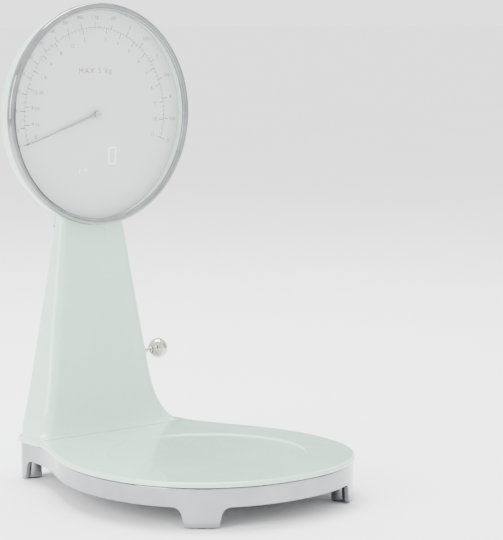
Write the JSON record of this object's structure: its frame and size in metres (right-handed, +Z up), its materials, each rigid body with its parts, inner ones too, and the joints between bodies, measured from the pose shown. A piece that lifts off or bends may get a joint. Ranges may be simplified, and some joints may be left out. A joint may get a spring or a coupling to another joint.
{
  "type": "kitchen scale",
  "caption": "Retro kitchen scale: round platter with a bowl seat on a polished footed base, tapered column, large round dial with a turning pointer, and a ball lever.",
  "frame": {"origin": "on the table, midway between the platter's front edge and the back of the dial's housing, on the middle plane", "axes": "+Z up, -Y towards the user who reads the dial, +X to that user's right"},
  "size_m": [0.217, 0.2686, 0.3718],
  "materials": {
    "chrome_band": "die-cast zinc, polished and chrome plated",
    "chrome_bezel": "spun steel, polished and chrome plated",
    "mint_paint": "gloss pastel green enamel on die-cast aluminium",
    "black_rubber": "matt moulded rubber",
    "grey_plastic": "fine textured grey ABS",
    "dark_plastic": "black moulded plastic",
    "white_plastic": "natural acetal",
    "dial_white": "satin white printed plate",
    "clear_glass": "clear float glass",
    "zinc_steel": "zinc plated pressed steel",
    "polished_nickel": "polished nickel plate",
    "cell_aluminium": "milled aluminium",
    "circuit_board": "green solder mask on glass epoxy",
    "copper_coil": "enamelled copper wire",
    "cell_jacket": "printed battery jacket"
  },
  "bodies": {
    "base": {"base_ring": "chrome_band", "base_legs": "chrome_band", "foot_pads": "black_rubber", "base_plate": "grey_plastic", "base_plate_screws": "zinc_steel", "batteries": "cell_jacket", "battery_contacts": "zinc_steel", "load_cell": "cell_aluminium", "cell_spacer": "zinc_steel", "cell_screws": "zinc_steel", "overload_stops": "black_rubber", "column": "mint_paint", "column_screws": "zinc_steel", "rear_cover": "mint_paint", "rear_cover_screws": "zinc_steel", "neck_screws": "zinc_steel", "dial_housing": "mint_paint", "bezel": "chrome_bezel", "dial_glass": "clear_glass", "glass_gasket": "black_rubber", "dial_plate": "dial_white", "dial_frame": "dark_plastic", "dial_frame_screws": "zinc_steel", "display_module": "dark_plastic", "main_board": "circuit_board", "board_screws": "zinc_steel", "motor_case": "white_plastic", "motor_cover": "white_plastic", "motor_coils": "copper_coil", "lever_bracket": "zinc_steel", "bracket_screws": "zinc_steel", "lever_pin": "zinc_steel", "lever_spring": "zinc_steel", "lever_switches": "dark_plastic", "wiring_loom": "dark_plastic"},
    "platform": {"platter": "mint_paint", "platter_carrier": "zinc_steel", "platform_spacer": "zinc_steel", "platform_cell_screws": "zinc_steel", "carrier_screws": "zinc_steel"},
    "needle": {"pointer": "chrome_bezel", "pointer_cap": "polished_nickel", "pointer_arbor": "zinc_steel", "drive_wheel": "white_plastic"},
    "rotor": {"motor_pinion": "white_plastic", "motor_magnet": "dark_plastic"},
    "lever": {"lever_rocker": "white_plastic", "lever_rod": "polished_nickel", "lever_knob": "polished_nickel"},
    "door": {"battery_door": "grey_plastic"}
  },
  "joints": [
    {"name": "platter_press", "type": "slide", "parent": "base", "child": "platform", "axis": [0, 0, -1], "range_m": [0, 0.0004], "stiffness_N_per_m": 49000, "springref_m": -0.00025, "deforming": ["load_cell"]},
    {"name": "pointer_turn", "type": "hinge", "parent": "base", "child": "needle", "pos_m": [0, 0.11635, 0.28435], "axis": [0, 1, 0], "range_deg": [0, 216]},
    {"name": "rotor_spin", "type": "hinge", "parent": "base", "child": "rotor", "pos_m": [0, 0.11835, 0.29595], "axis": [0, 1, 0], "range_deg": [-1040, 1]},
    {"name": "lever_press", "type": "hinge", "parent": "base", "child": "lever", "pos_m": [0.03198, 0.11755, 0.088], "axis": [0, 1, 0], "range_deg": [-6, 6], "stiffness_Nm_per_rad": 1, "springref_deg": -0.34},
    {"name": "door_slide", "type": "slide", "parent": "base", "child": "door", "axis": [0, -1, 0], "range_m": [0, 0.024]}
  ],
  "couplings": [
    {"joint": "rotor_spin", "follows": "pointer_turn", "ratio": -4.8}
  ]
}
